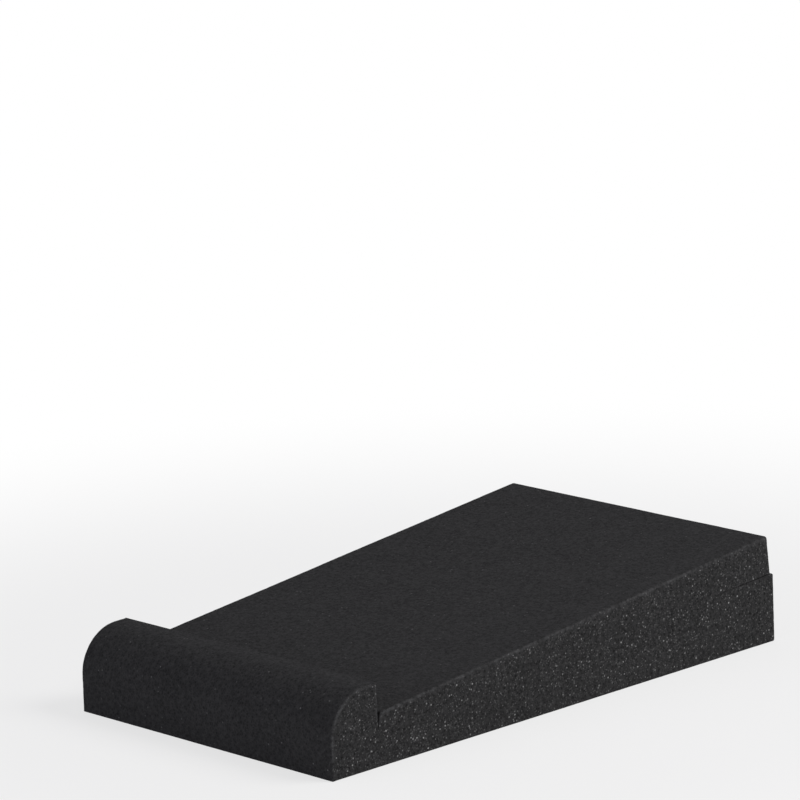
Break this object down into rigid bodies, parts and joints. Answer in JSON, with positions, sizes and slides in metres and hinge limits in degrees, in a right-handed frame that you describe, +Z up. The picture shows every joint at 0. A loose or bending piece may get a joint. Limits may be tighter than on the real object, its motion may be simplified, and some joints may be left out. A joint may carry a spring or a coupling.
{
  "type": "speaker isolation pad",
  "caption": "Foam pad to stand a loudspeaker on: a base wedge with a bull-nosed front lip and a loose tilt wedge lying on its sloping seat.",
  "frame": {"origin": "middle of the underside, at the base of the bounding box", "axes": "+X across the pad, to the right as seen from in front of the lip; +Y along its length, from the lip to the rear; +Z up"},
  "size_m": [0.18, 0.3, 0.055],
  "materials": {
    "foam": "open-cell charcoal foam, matt"
  },
  "bodies": {
    "root": {"base_wedge": "foam", "tilt_wedge": "foam"}
  },
  "joints": []
}
